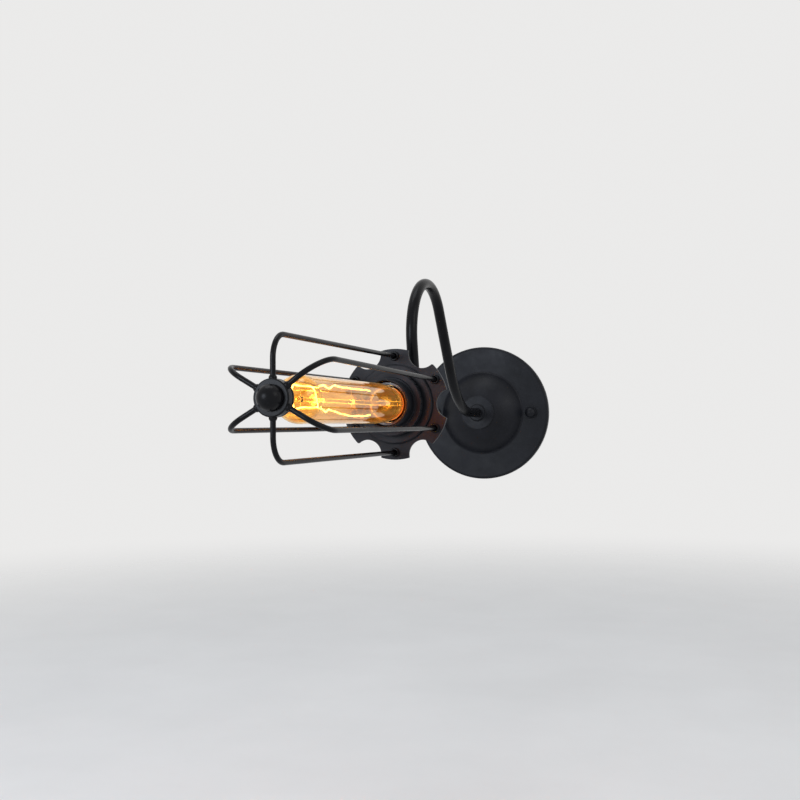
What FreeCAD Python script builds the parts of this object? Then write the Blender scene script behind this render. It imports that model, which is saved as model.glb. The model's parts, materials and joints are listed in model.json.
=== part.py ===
"""Cage wall light: domed wall plate, swan-neck arm, tilting lampholder, long tube lamp, six-wire cage.

Frame: the wall is the plane y = 0 and the light stands out along -Y, with +Z up and the origin at the
centre of the wall plate's back edge. Lengths are millimetres. "Reach" is a distance out from the wall,
so a point at reach r lies at y = -r. In the head, "t" is the distance in front of the cage plate's back
face, out along the head's axis.
"""

import FreeCAD
import Part
import math
import os

V = FreeCAD.Vector

# ---- Fits ---------------------------------------------------------------------------------------
FIT_GAP = 0.05               # radial clearance of a pushed or threaded fit
PIVOT_GAP = 0.08             # radial running clearance round the pivot screw
MOVE_GAP = 0.3               # between faces that move past each other

# ---- Wall plate ---------------------------------------------------------------------------------
PLATE_RADIUS = 70.0          # at the back edge
PLATE_DEPTH = 6.7            # back edge to the flat front face
PLATE_WALL = 1.5             # sheet thickness
PLATE_EDGE_ROUND = 2.6       # outer edge, in section
DOME_SPHERE = 50.0           # radius of the dome's outer surface
DOME_SUMMIT = 30.7           # reach its top would have without the crown's flat land
DOME_FOOT_ROUND = 2.5        # hollow round between dome and flat face
CROWN_REACH = 27.5           # flat land that the collar sits on

# ---- Collar, washer and lock nut on the arm's root ----------------------------------------------
COLLAR_RADIUS = 17.5
COLLAR_THICKNESS = 1.8
COLLAR_NECK_RADIUS = 8.2
COLLAR_NECK = 3.4            # height of the neck in front of the disc
ARM_WASHER_RADIUS = 11.5
ARM_WASHER_THICKNESS = 1.2
LOCK_NUT_FLATS = 15.0
LOCK_NUT_THICKNESS = 4.5

# ---- Swan-neck tube and the flex inside it ------------------------------------------------------
TUBE_RADIUS = 4.75
TUBE_WALL = 1.2
TUBE_ROOT = 15.0             # reach of the tube's inner end, inside the dome
LOW_BEND_START = 61.5        # reach where the tube starts to rise
LOW_BEND_RADIUS = 91.5
RISE_ANGLE = 54.2            # degrees above level, between the two bends
RISE_LENGTH = 65.6           # straight run between the bends
ARCH_RADIUS = 45.9
ARCH_LEAN = 11.0             # degrees past straight down, back towards the wall
DROP_LENGTH = 37.2           # straight run from the arch into the knuckle
FLEX_RADIUS = 1.9            # two-core round flex
FLEX_TURN = 5.0              # bend of the flex at the tube's inner end
FLEX_BEND = 12.0             # gentle bend of the flex on its way into and out of the knuckle

# ---- Mounting strap and what is fixed to it -----------------------------------------------------
STRAP_END = 8.0              # of the strap past each stud
STRAP_WIDTH = 20.0
STRAP_THICKNESS = 2.0
SUPPLY_HOLE_RADIUS = 5.5     # centre hole for the supply cable
WALL_SCREW_SPACING = 60.0
WALL_SCREW_HOLE_RADIUS = 2.25
STUD_INSET = 18.0            # each stud from the wall plate's edge
STUD_RADIUS = 2.0
STUD_FRONT = 12.0            # reach of the studs' tips
CAP_NUT_FLANGE_RADIUS = 6.3
CAP_NUT_FLANGE = 1.4
CAP_NUT_RADIUS = 5.5
CAP_NUT_BODY = 3.2           # straight part under the cap nut's dome
EARTH_SCREW_X = -17.0
EARTH_SCREW_RADIUS = 1.9
EARTH_HEAD_RADIUS = 3.6
EARTH_HEAD = 2.4
EARTH_TAIL = 4.0             # of the screw in front of the strap, under its head
BLOCK_NEAR_X = 9.5           # side of the terminal block that faces the tube
BLOCK_WIDTH = 15.0
BLOCK_HEIGHT = 18.0
BLOCK_DEPTH = 10.0
BLOCK_POLE_PITCH = 5.6
BLOCK_WIRE_RADIUS = 1.5
BLOCK_SCREW_RADIUS = 1.6
BLOCK_SCREW_SINK = 1.0       # screws' heads below the block's front

# ---- Knuckle between arm and head ---------------------------------------------------------------
DRUM_RADIUS = 9.0
DRUM_HALF = 8.0              # half of the whole knuckle's width
DRUM_WALL = 1.6
PIVOT_RADIUS = 2.5
PIVOT_HEAD_RADIUS = 4.6
PIVOT_HEAD = 2.6
PIVOT_SLOT = 1.0
PIVOT_NUT_FLATS = 8.0
PIVOT_NUT_THICKNESS = 4.0
NECK_RADIUS = 5.0            # of each half, next to the drum
ARM_NECK = 12.5              # from the pivot to where the arm half widens
ARM_SOCKET_RADIUS = 6.5
ARM_SOCKET_FLOOR = 15.0      # from the pivot to the tube's end
ARM_SOCKET_MOUTH = 22.5
HEAD_NECK = 11.5             # from the pivot to the head half's foot
HEAD_FOOT = 15.5             # from the pivot to the holder cup's back
HEAD_FOOT_RADIUS = 8.0
WIREWAY_RADIUS = 2.4
WIREWAY_OFFSET = 3.2         # sideways, where the flex enters each half of the drum
NIPPLE_RADIUS = 4.0
NIPPLE_BORE_RADIUS = 2.7
NIPPLE_SINK = 3.5            # into the head half's foot
NIPPLE_TAIL = 6.5            # past the cup's back face
NIPPLE_NUT_FLATS = 11.0
NIPPLE_NUT_THICKNESS = 2.5

# ---- Head: cage plate, rings and lampholder -----------------------------------------------------
HOLDER_DEPTH = 38.6          # the holder cup's back face to the cage plate's back face
CAGE_PLATE_THICKNESS = 2.5
CAGE_PLATE_RADIUS = 43.5
SCALLOP_CENTRE_RADIUS = 45.5
SCALLOP_RADIUS = 11.5
LUG_CORNER_ROUND = 0.8
WIRE_COUNT = 6
WIRE_CIRCLE_RADIUS = 37.8
BOSS_RADIUS = 31.2           # raised disc on the cage plate
BOSS_THICKNESS = 2.8
RING_FLANGE_RADIUS = 25.1
RING_BACK_RADIUS = 22.6
RING_BACK = 3.2              # narrow part behind the ring's rim
RING_RIM = 5.4
RING_GROOVES = 30
RING_GROOVE_RADIUS = 0.7
SLEEVE_RADIUS = 18.8
SLEEVE_WALL = 1.5
SLEEVE_LIP = 27.5            # t of its front edge
SHOULDER_RADIUS = 21.5
SHOULDER = 3.0               # rim of the sleeve behind the cage plate
SLEEVE_TAIL = 15.0           # of the sleeve behind the cage plate
CUP_RADIUS = 21.0
CUP_WALL = 1.6
CUP_ROUND = 8.0              # back corner
CORE_RADIUS = 16.6
CORE_FLANGE = 4.0
CORE_FRONT = 21.0            # t of the core's front edge
CORE_FLOOR = -13.0           # t of the core's inner floor
SHELL_RADIUS = 14.6
SHELL_WALL = 0.5
SHELL_FRONT = 14.0
CONTACT_WIDTH = 7.0
CONTACT_LENGTH = 18.0
CONTACT_THICKNESS = 0.6

# ---- Lamp: E27 tube, 30 mm across and 225 mm long -----------------------------------------------
LAMP_BASE = -10.0            # t of the tip of its centre contact
LAMP_LENGTH = 213.0
GLASS_RADIUS = 15.2
GLASS_WALL = 0.9
GLASS_NECK_RADIUS = 12.6
GLASS_SHOULDER = 34.0        # length over which the neck widens
THREAD_RADIUS = 13.1
THREAD_ROOT_RADIUS = 12.2
THREAD_PITCH = 3.63
THREADS = 4
CAP_WALL = 0.4
CAP_SKIRT = 8.0
CAP_FOOT = 2.5               # cone between the thread and the insulator
INSULATOR_RADIUS = 9.0
INSULATOR_LENGTH = 3.2
TIP_RADIUS = 4.6
TIP = 1.8
STEM_FLARE_T = 26.0          # t of the stem's flared foot, sealed to the neck
STEM_FLARE = 1.2
STEM_RADIUS = 5.0
STEM_LENGTH = 22.0           # from the flared foot to the rod
STEM_ROD_RADIUS = 1.4
STRAND_CIRCLE = 8.8          # from the axis to the two long runs of the filament
STRAND_LOW = 62.0            # t of the runs' near ends
STRAND_HIGH = 196.0          # t where the filament turns round the end of the rod
CROSS_T = 162.0              # middle of the run that crosses over
CROSS_SLANT = 4.0            # t of each of its ends from its middle
CROSS_BOW = 3.4              # sideways, to pass the rod
STRAND_RADIUS = 0.45
LEAD_RADIUS = 0.45
LEAD_ROOT_RADIUS = 3.0       # from the axis, where the leads start in the stem
LEAD_SINK = 8.0              # from the stem's top down to where the leads start
HOOK_RADIUS = 0.35
HOOK_NEAR_T = 100.0
HOOK_FAR_T = 186.0
ROD_BEAD_RADIUS = 2.2
ROD_END = 191.0              # t of the rod's far end

# ---- Cage: wires, hub and finial ----------------------------------------------------------------
SPOKE_T = 225.3              # plane of the front spokes
WIRE_RADIUS = 1.7
WIRE_BEND_RADIUS = 15.0
ASKEW_TURN = 8.0             # degrees by which the last wire's front is bent out of its plane
ASKEW_BEND_RADIUS = 22.0
KNEE_T = 5.5                 # where that wire leaves the line of its bore
KNEE_RADIUS = 30.0
WIRE_TAIL = 6.5              # behind the cage plate
WIRE_NUT_FLATS = 7.0
WIRE_NUT_THICKNESS = 3.0
WIRE_COLLAR_RADIUS = 3.7     # round collars in front of the lugs
WIRE_COLLAR = 2.4
WIRE_COLLAR_SINK = 0.9       # countersink in each collar's front
HUB_RADIUS = 11.3
HUB_BEHIND = 5.4             # of the hub behind the spokes' plane
HUB_FRONT = 3.1
HUB_GROOVE = 0.7             # groove round the rim, behind the spokes
SPOKE_SOCKET = 4.5
WELD_RADIUS = 2.5
FINIAL_RADIUS = 7.95
FINIAL_CENTRE = 1.5          # in front of the hub's front face
SPIGOT_RADIUS = 2.5
SPIGOT = 4.5


# ---- Lengths that follow from others ------------------------------------------------------------
STUD_X = PLATE_RADIUS - STUD_INSET
STRAP_HALF = STUD_X + STRAP_END


# ---- Helpers ------------------------------------------------------------------------------------
def at(x, reach, z):
    return V(x, -reach, z)


def on_circle(radius, degrees):
    a = math.radians(degrees)
    return radius * math.cos(a), radius * math.sin(a)


def line(a, b):
    return Part.LineSegment(a, b).toShape()


def arc(a, mid, b):
    return Part.Arc(a, mid, b).toShape()


def rod(start, direction, radius, length):
    return Part.makeCylinder(radius, length, start, direction)


def hexagon(start, direction, flats, thickness, bore):
    """Nut blank with two flats facing up and down, chamfered on its far face. The direction is level."""
    across = V(0, 0, 1).cross(direction)
    corners = []
    for k in range(7):
        a, b = on_circle(flats / math.sqrt(3), 60 * k)
        corners.append(start + across * a + V(0, 0, b))
    blank = Part.Face(Part.makePolygon(corners)).extrude(direction * thickness)
    over = flats * 0.62
    cone = Part.makeCone(over + thickness, over - 0.35 * thickness, thickness * 1.35, start, direction)
    return blank.common(cone).cut(rod(start - direction, direction, bore, thickness + 2))


def solid_face(points_and_arcs):
    """Face in the plane x = 0 from (reach, height) points. A (mid, end) pair of points makes an arc."""
    here = first = at(0, *points_and_arcs[0])
    edges = []
    for step in points_and_arcs[1:]:
        if isinstance(step[0], tuple):
            end = at(0, *step[1])
            edges.append(arc(here, at(0, *step[0]), end))
        else:
            end = at(0, *step)
            edges.append(line(here, end))
        here = end
    edges.append(line(here, first))
    return Part.Face(Part.Wire(edges))


def turned(profile, start=0.0, z=0.0):
    """Solid of revolution about the level axis at height z. Profile points are (reach, radius), counted
    from the reach called start."""

    def moved(p):
        return (p[0] + start, p[1] + z)

    steps = [(moved(s[0]), moved(s[1])) if isinstance(s[0], tuple) else moved(s) for s in profile]
    return solid_face(steps).revolve(V(0, 0, z), V(0, 1, 0), 360)


def bend(centre, radius, start, end):
    """Arc step of a profile, round centre from angle start to angle end, in degrees from outwards."""

    def point(degrees):
        a, b = on_circle(radius, degrees)
        return centre[0] + a, centre[1] + b

    return point((start + end) / 2), point(end)


def swept(edges, radius, start, direction):
    outline = Part.Wire(Part.makeCircle(radius, start, direction))
    return Part.Wire(edges).makePipeShell([outline], True, False)


def rounded_corner(before, corner, after, radius):
    """Start, middle and end of the tangent arc that rounds a corner of a route."""
    into = (corner - before).normalize()
    onward = (after - corner).normalize()
    half = into.getAngle(onward) / 2
    inward = (onward - into).normalize()
    middle = corner + inward * (radius / math.cos(half) - radius)
    back = radius * math.tan(half)
    return corner - into * back, middle, corner + onward * back


# ---- The arm's centreline -----------------------------------------------------------------------
def arm_points():
    rise = math.radians(RISE_ANGLE)
    up = V(0, -math.cos(rise), math.sin(rise))
    across = V(0, -math.sin(rise), -math.cos(rise))
    start = at(0, LOW_BEND_START, 0)
    low_centre = start + V(0, 0, LOW_BEND_RADIUS)
    half = math.radians(RISE_ANGLE / 2)
    low_mid = low_centre + V(0, -math.sin(half), -math.cos(half)) * LOW_BEND_RADIUS
    low_end = low_centre + across * LOW_BEND_RADIUS
    rise_end = low_end + up * RISE_LENGTH
    arch_centre = rise_end + across * ARCH_RADIUS
    a, b = on_circle(ARCH_RADIUS, (90 + RISE_ANGLE - ARCH_LEAN) / 2)
    arch_mid = arch_centre + at(0, a, b)
    a, b = on_circle(ARCH_RADIUS, -ARCH_LEAN)
    arch_end = arch_centre + at(0, a, b)
    return start, low_mid, low_end, rise_end, arch_mid, arch_end


ARM = arm_points()
LEAN = math.radians(ARCH_LEAN)
DROP = V(0, math.sin(LEAN), -math.cos(LEAN))             # unit vector down the last straight run
TUBE_END = ARM[5] + DROP * DROP_LENGTH
PIVOT = TUBE_END + DROP * ARM_SOCKET_FLOOR
HEAD_Z = PIVOT.z
CUP_BACK = -HOLDER_DEPTH                                 # t of the holder cup's back face
CAGE_PLATE_REACH = HEAD_FOOT + HOLDER_DEPTH - PIVOT.y
OUT = V(0, -1, 0)
SIDE = V(1, 0, 0)


def arm_edges(root_edges, root, end):
    """Edges of the arm's route from root to end, after any edges that lead up to the root."""
    start, low_mid, low_end, rise_end, arch_mid, arch_end = ARM
    return root_edges + [
        line(root, start),
        arc(start, low_mid, low_end),
        line(low_end, rise_end),
        arc(rise_end, arch_mid, arch_end),
        line(arch_end, end),
    ]


def in_head(t, x=0.0, height=0.0):
    return at(x, CAGE_PLATE_REACH + t, HEAD_Z + height)


def head_turned(profile):
    return turned(profile, CAGE_PLATE_REACH, HEAD_Z)


# ---- Wall plate and what holds it ---------------------------------------------------------------
def plate_skin(inset):
    """Outline steps of the plate's front surface, from the back edge in, moved inwards by inset."""
    face = PLATE_DEPTH - inset
    rim = PLATE_RADIUS - inset
    edge = PLATE_EDGE_ROUND - inset
    sphere_centre = DOME_SUMMIT - DOME_SPHERE
    sphere = DOME_SPHERE - inset
    foot = DOME_FOOT_ROUND + inset
    rise = face + foot - sphere_centre
    foot_radius = math.sqrt((sphere + foot) ** 2 - rise ** 2)
    foot_angle = math.degrees(math.atan2(foot_radius, rise))
    crown = CROWN_REACH - inset
    crown_angle = math.degrees(math.acos((crown - sphere_centre) / sphere))
    return [
        (0, rim),
        (face - edge, rim),
        bend((face - edge, rim - edge), edge, 90, 0),
        (face, foot_radius),
        bend((face + foot, foot_radius), foot, 180, 180 + foot_angle),
        bend((sphere_centre, 0), sphere, foot_angle, crown_angle),
        (crown, 0),
    ]


def build_wall_plate():
    outside = turned(plate_skin(0) + [(0, 0)])
    inside = turned(plate_skin(PLATE_WALL) + [(0, 0)])
    plate = outside.cut(inside)
    plate = plate.cut(rod(at(0, 0, 0), OUT, TUBE_RADIUS + FIT_GAP, DOME_SUMMIT + 5))
    for side in (-1, 1):
        start = at(side * STUD_X, 0, 0)
        plate = plate.cut(rod(start, OUT, STUD_RADIUS + FIT_GAP, DOME_SUMMIT))
    return plate


def build_arm_collar():
    bore = TUBE_RADIUS + FIT_GAP
    disc = COLLAR_THICKNESS
    neck = disc + COLLAR_NECK
    return turned(
        [
            (0, bore),
            (0, COLLAR_RADIUS),
            (disc - 0.8, COLLAR_RADIUS),
            bend((disc - 0.8, COLLAR_RADIUS - 0.8), 0.8, 90, 0),
            (disc, COLLAR_NECK_RADIUS + 1.2),
            bend((disc + 1.2, COLLAR_NECK_RADIUS + 1.2), 1.2, 180, 270),
            (neck - 0.8, COLLAR_NECK_RADIUS),
            bend((neck - 0.8, COLLAR_NECK_RADIUS - 0.8), 0.8, 90, 0),
            (neck, bore),
        ],
        CROWN_REACH,
    )


def build_arm_washer():
    start = at(0, CROWN_REACH - PLATE_WALL, 0)
    back = V(0, 1, 0)
    disc = rod(start, back, ARM_WASHER_RADIUS, ARM_WASHER_THICKNESS)
    return disc.cut(rod(start, back, TUBE_RADIUS + FIT_GAP, ARM_WASHER_THICKNESS))


def build_arm_lock_nut():
    start = at(0, CROWN_REACH - PLATE_WALL - ARM_WASHER_THICKNESS, 0)
    return hexagon(start, V(0, 1, 0), LOCK_NUT_FLATS, LOCK_NUT_THICKNESS, TUBE_RADIUS + FIT_GAP)


def build_mounting_strap():
    half = STRAP_HALF - STRAP_WIDTH / 2
    bar = Part.makeBox(
        2 * half, STRAP_THICKNESS, STRAP_WIDTH, at(-half, STRAP_THICKNESS, -STRAP_WIDTH / 2)
    )
    for side in (-1, 1):
        bar = bar.fuse(rod(at(side * half, 0, 0), OUT, STRAP_WIDTH / 2, STRAP_THICKNESS))
    bar = bar.removeSplitter()
    holes = [(0, SUPPLY_HOLE_RADIUS), (EARTH_SCREW_X, EARTH_SCREW_RADIUS + FIT_GAP)]
    for side in (-1, 1):
        holes.append((side * WALL_SCREW_SPACING / 2, WALL_SCREW_HOLE_RADIUS))
        holes.append((side * STUD_X, STUD_RADIUS + FIT_GAP))
    for x, radius in holes:
        bar = bar.cut(rod(at(x, -1, 0), OUT, radius, STRAP_THICKNESS + 2))
    return bar


def build_mounting_studs():
    return [rod(at(side * STUD_X, 0, 0), OUT, STUD_RADIUS, STUD_FRONT) for side in (-1, 1)]


def build_cap_nuts():
    shape = [
        (0, STUD_RADIUS + FIT_GAP),
        (0, CAP_NUT_FLANGE_RADIUS),
        (CAP_NUT_FLANGE - 0.5, CAP_NUT_FLANGE_RADIUS),
        bend((CAP_NUT_FLANGE - 0.5, CAP_NUT_FLANGE_RADIUS - 0.5), 0.5, 90, 0),
        (CAP_NUT_FLANGE, CAP_NUT_RADIUS),
        (CAP_NUT_BODY, CAP_NUT_RADIUS),
        bend((CAP_NUT_BODY, 0), CAP_NUT_RADIUS, 90, 0),
        (STUD_FRONT - PLATE_DEPTH + 0.5, 0),
        (STUD_FRONT - PLATE_DEPTH + 0.5, STUD_RADIUS + FIT_GAP),
    ]
    nut = turned(shape, PLATE_DEPTH)
    return [nut.translated(V(side * STUD_X, 0, 0)) for side in (-1, 1)]


def build_earth_screw():
    shank = rod(at(EARTH_SCREW_X, 0.2, 0), OUT, EARTH_SCREW_RADIUS, STRAP_THICKNESS + EARTH_TAIL)
    head_start = at(EARTH_SCREW_X, STRAP_THICKNESS + EARTH_TAIL, 0)
    head = rod(head_start, OUT, EARTH_HEAD_RADIUS, EARTH_HEAD)
    slot = Part.makeBox(
        2 * EARTH_HEAD_RADIUS + 2,
        EARTH_HEAD,
        0.9,
        head_start + at(-EARTH_HEAD_RADIUS - 1, 1.5 * EARTH_HEAD, -0.45),
    )
    return shank.fuse(head).cut(slot).removeSplitter()


def block_poles():
    return [k * BLOCK_POLE_PITCH for k in (-1, 0, 1)]


def build_terminal_block():
    block = Part.makeBox(
        BLOCK_WIDTH,
        BLOCK_DEPTH,
        BLOCK_HEIGHT,
        at(BLOCK_NEAR_X, STRAP_THICKNESS + BLOCK_DEPTH, -BLOCK_HEIGHT / 2),
    )
    front = STRAP_THICKNESS + BLOCK_DEPTH
    wire_reach = STRAP_THICKNESS + BLOCK_DEPTH * 0.45
    middle = BLOCK_NEAR_X + BLOCK_WIDTH / 2
    for z in block_poles():
        block = block.cut(rod(at(BLOCK_NEAR_X - 1, wire_reach, z), SIDE, BLOCK_WIRE_RADIUS, BLOCK_WIDTH + 2))
        for side in (-1, 1):
            hole = at(middle + side * BLOCK_WIDTH / 4, wire_reach, z)
            block = block.cut(rod(hole, OUT, BLOCK_SCREW_RADIUS + FIT_GAP, front))
    return block


def build_terminal_screws():
    wire_reach = STRAP_THICKNESS + BLOCK_DEPTH * 0.45
    length = STRAP_THICKNESS + BLOCK_DEPTH - BLOCK_SCREW_SINK - wire_reach
    middle = BLOCK_NEAR_X + BLOCK_WIDTH / 2
    screws = []
    for z in block_poles():
        for side in (-1, 1):
            start = at(middle + side * BLOCK_WIDTH / 4, wire_reach, z)
            screw = rod(start, OUT, BLOCK_SCREW_RADIUS, length)
            slot = Part.makeBox(4, 1.0, 0.6, start + at(-2, length + 0.4, -0.3))
            screws.append(screw.cut(slot))
    return screws


# ---- Arm ----------------------------------------------------------------------------------------
def build_arm_tube():
    root = at(0, TUBE_ROOT, 0)
    edges = arm_edges([], root, TUBE_END)
    return swept(edges, TUBE_RADIUS, root, OUT).cut(swept(edges, TUBE_RADIUS - TUBE_WALL, root, OUT))


def build_arm_flex():
    """Flex from the terminal block through the tube and into the arm's half of the knuckle."""
    wire_reach = STRAP_THICKNESS + BLOCK_DEPTH * 0.45
    start = at(BLOCK_NEAR_X, wire_reach, 0)
    turn, mid, root = rounded_corner(start, at(0, wire_reach, 0), ARM[0], FLEX_TURN)
    end = PIVOT - DROP * 5.0 + SIDE * WIREWAY_OFFSET
    leave, leave_mid, onward = rounded_corner(ARM[5], TUBE_END, end, FLEX_BEND)
    edges = arm_edges([line(start, turn), arc(turn, mid, root)], root, leave)
    edges += [arc(leave, leave_mid, onward), line(onward, end)]
    return swept(edges, FLEX_RADIUS, start, -SIDE)


# ---- Knuckle ------------------------------------------------------------------------------------
def drum_half(side):
    """One cupped half of the knuckle's drum, with its closed face at side * DRUM_HALF."""
    inner_face = PIVOT + SIDE * (side * MOVE_GAP / 2)
    width = DRUM_HALF - MOVE_GAP / 2
    drum = rod(inner_face, SIDE * side, DRUM_RADIUS, width)
    outer_edges = [e for e in drum.Edges if abs(e.BoundBox.XMin - side * DRUM_HALF) < 0.01]
    round_edges = [e for e in outer_edges if e.BoundBox.XLength < 0.01]
    drum = drum.makeFillet(1.2, round_edges)
    return drum


def drum_hollow(side):
    inner_face = PIVOT + SIDE * (side * MOVE_GAP / 2)
    width = DRUM_HALF - MOVE_GAP / 2
    return rod(inner_face, SIDE * side, DRUM_RADIUS - DRUM_WALL, width - DRUM_WALL)


def clear_of_other_half(side):
    """Space that the other half of the drum turns in."""
    start = PIVOT - SIDE * (side * (DRUM_HALF + 5))
    return rod(start, SIDE * side, DRUM_RADIUS + MOVE_GAP, DRUM_HALF + 5 + MOVE_GAP / 2)


def pivot_bore(radius):
    return rod(PIVOT - SIDE * (2 * DRUM_HALF), SIDE, radius, 4 * DRUM_HALF)


def build_arm_knuckle():
    up = -DROP
    neck = rod(PIVOT, up, NECK_RADIUS, ARM_NECK)
    socket_height = ARM_SOCKET_MOUTH - ARM_NECK
    flare = Part.makeCone(NECK_RADIUS, ARM_SOCKET_RADIUS, 1.5, PIVOT + up * ARM_NECK, up)
    socket = rod(PIVOT + up * (ARM_NECK + 1.5), up, ARM_SOCKET_RADIUS, socket_height - 1.5)
    stem = neck.fuse([flare, socket]).removeSplitter().cut(clear_of_other_half(1))
    half = drum_half(1).fuse(stem).cut(drum_hollow(1))
    way_start = PIVOT + up * (ARM_SOCKET_FLOOR + 0.5)
    way = PIVOT + up * 4.5 + SIDE * WIREWAY_OFFSET - way_start
    half = half.cut(Part.makeCylinder(WIREWAY_RADIUS, way.Length, way_start, way))
    seat = rod(PIVOT + up * ARM_SOCKET_FLOOR, up, TUBE_RADIUS + FIT_GAP, socket_height + 5)
    return half.cut(seat).cut(pivot_bore(PIVOT_RADIUS + FIT_GAP))


def build_head_knuckle():
    neck = rod(PIVOT, OUT, NECK_RADIUS, HEAD_NECK)
    foot = rod(PIVOT + OUT * HEAD_NECK, OUT, HEAD_FOOT_RADIUS, HEAD_FOOT - HEAD_NECK)
    stem = neck.fuse(foot).cut(clear_of_other_half(-1))
    half = drum_half(-1).fuse(stem).cut(drum_hollow(-1))
    way_start = PIVOT + OUT * (HEAD_FOOT - 1)
    way = PIVOT + OUT * 4.5 - SIDE * WIREWAY_OFFSET - way_start
    half = half.cut(Part.makeCylinder(WIREWAY_RADIUS, way.Length, way_start, way))
    seat = rod(PIVOT + OUT * (HEAD_FOOT - NIPPLE_SINK), OUT, NIPPLE_RADIUS + FIT_GAP, NIPPLE_SINK + 1)
    return half.cut(seat).cut(pivot_bore(PIVOT_RADIUS + PIVOT_GAP)).removeSplitter()


def build_pivot_screw():
    head_face = PIVOT - SIDE * (DRUM_HALF + MOVE_GAP)
    reach = 2 * DRUM_HALF + MOVE_GAP + PIVOT_NUT_THICKNESS + 1.0
    shank = rod(head_face, SIDE, PIVOT_RADIUS, reach)
    head = rod(head_face, -SIDE, PIVOT_HEAD_RADIUS, PIVOT_HEAD)
    rim = [e for e in head.Edges if e.BoundBox.XLength < 0.01 and e.BoundBox.XMin < head_face.x - 1]
    head = head.makeFillet(0.9, rim)
    slot = Part.makeBox(
        1.5, 2 * PIVOT_HEAD_RADIUS, PIVOT_SLOT, head_face + V(-PIVOT_HEAD, -PIVOT_HEAD_RADIUS, -PIVOT_SLOT / 2)
    )
    return shank.fuse(head).cut(slot).removeSplitter()


def build_pivot_nut():
    return hexagon(
        PIVOT + SIDE * DRUM_HALF, SIDE, PIVOT_NUT_FLATS, PIVOT_NUT_THICKNESS, PIVOT_RADIUS + FIT_GAP
    )


# ---- Lampholder ---------------------------------------------------------------------------------
def build_holder_nipple():
    start = PIVOT + OUT * (HEAD_FOOT - NIPPLE_SINK)
    length = NIPPLE_SINK + NIPPLE_TAIL
    return rod(start, OUT, NIPPLE_RADIUS, length).cut(rod(start, OUT, NIPPLE_BORE_RADIUS, length))


def build_nipple_nut():
    return hexagon(
        in_head(CUP_BACK + CUP_WALL), OUT, NIPPLE_NUT_FLATS, NIPPLE_NUT_THICKNESS, NIPPLE_RADIUS + FIT_GAP
    )


def build_holder_cup():
    outer, inner = CUP_RADIUS, CUP_RADIUS - CUP_WALL
    corner = CUP_BACK + CUP_ROUND
    return head_turned(
        [
            (CUP_BACK, NIPPLE_RADIUS + FIT_GAP),
            (CUP_BACK, outer - CUP_ROUND),
            bend((corner, outer - CUP_ROUND), CUP_ROUND, 180, 90),
            (-SHOULDER, outer),
            (-SHOULDER, inner),
            (corner, inner),
            bend((corner, outer - CUP_ROUND), CUP_ROUND - CUP_WALL, 90, 180),
            (CUP_BACK + CUP_WALL, NIPPLE_RADIUS + FIT_GAP),
        ]
    )


def build_holder_sleeve():
    bore = SLEEVE_RADIUS - SLEEVE_WALL
    thread = CUP_RADIUS - CUP_WALL - FIT_GAP
    lip = SLEEVE_LIP
    return head_turned(
        [
            (-SLEEVE_TAIL, bore),
            (-SLEEVE_TAIL, thread),
            (-SHOULDER, thread),
            (-SHOULDER, SHOULDER_RADIUS),
            (0, SHOULDER_RADIUS),
            (0, SLEEVE_RADIUS),
            (lip - 0.6, SLEEVE_RADIUS),
            bend((lip - 0.6, SLEEVE_RADIUS - 0.6), 0.6, 90, 0),
            (lip, bore + 0.6),
            bend((lip - 0.6, bore + 0.6), 0.6, 0, -90),
        ]
    )


def build_holder_core():
    """Insulating core, pressed into the sleeve's back end by its flange."""
    flange_back = -SLEEVE_TAIL - CORE_FLANGE
    core = head_turned(
        [
            (flange_back, 0),
            (flange_back, CUP_RADIUS - CUP_WALL - 0.4),
            (-SLEEVE_TAIL, CUP_RADIUS - CUP_WALL - 0.4),
            (-SLEEVE_TAIL, CORE_RADIUS),
            (CORE_FRONT, CORE_RADIUS),
            (CORE_FRONT, SHELL_RADIUS + FIT_GAP),
            (CORE_FLOOR, SHELL_RADIUS + FIT_GAP),
            (CORE_FLOOR, 0),
        ]
    )
    for side in (-1, 1):
        core = core.cut(rod(in_head(flange_back - 1, side * 9.0), OUT, 1.6, CORE_FLANGE + 4))
    return core


def build_holder_screw_shell():
    return head_turned(
        [
            (CORE_FLOOR, SHELL_RADIUS - SHELL_WALL),
            (CORE_FLOOR, SHELL_RADIUS),
            (SHELL_FRONT, SHELL_RADIUS),
            (SHELL_FRONT, SHELL_RADIUS - SHELL_WALL),
        ]
    )


def build_holder_contact():
    """Springy centre contact, a strip bowed up to meet the lamp's tip."""
    half = CONTACT_LENGTH / 2
    foot = CORE_FLOOR
    top = LAMP_BASE - 0.02
    points = [
        V(-half, 0, 0),
        V(-half + 4, 0, 0),
        V(-3.5, -(top - foot - CONTACT_THICKNESS), 0),
        V(3.5, -(top - foot - CONTACT_THICKNESS), 0),
        V(half - 4, 0, 0),
        V(half, 0, 0),
    ]
    above = [p + V(0, -CONTACT_THICKNESS, 0) for p in reversed(points)]
    base = in_head(foot, 0, -CONTACT_WIDTH / 2)
    outline = [base + p for p in points + above]
    return Part.Face(Part.makePolygon(outline + outline[:1])).extrude(V(0, 0, CONTACT_WIDTH))


def build_head_flex():
    """Flex from inside the knuckle's drum, through the nipple, to the back of the core."""
    start = PIVOT + OUT * 5.0 - SIDE * WIREWAY_OFFSET
    seat = PIVOT + OUT * (HEAD_FOOT - 1)
    end = in_head(-SLEEVE_TAIL - CORE_FLANGE)
    turn, mid, onward = rounded_corner(start, seat, end, FLEX_BEND)
    edges = [line(start, turn), arc(turn, mid, onward), line(onward, end)]
    return swept(edges, FLEX_RADIUS, start, seat - start)


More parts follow.
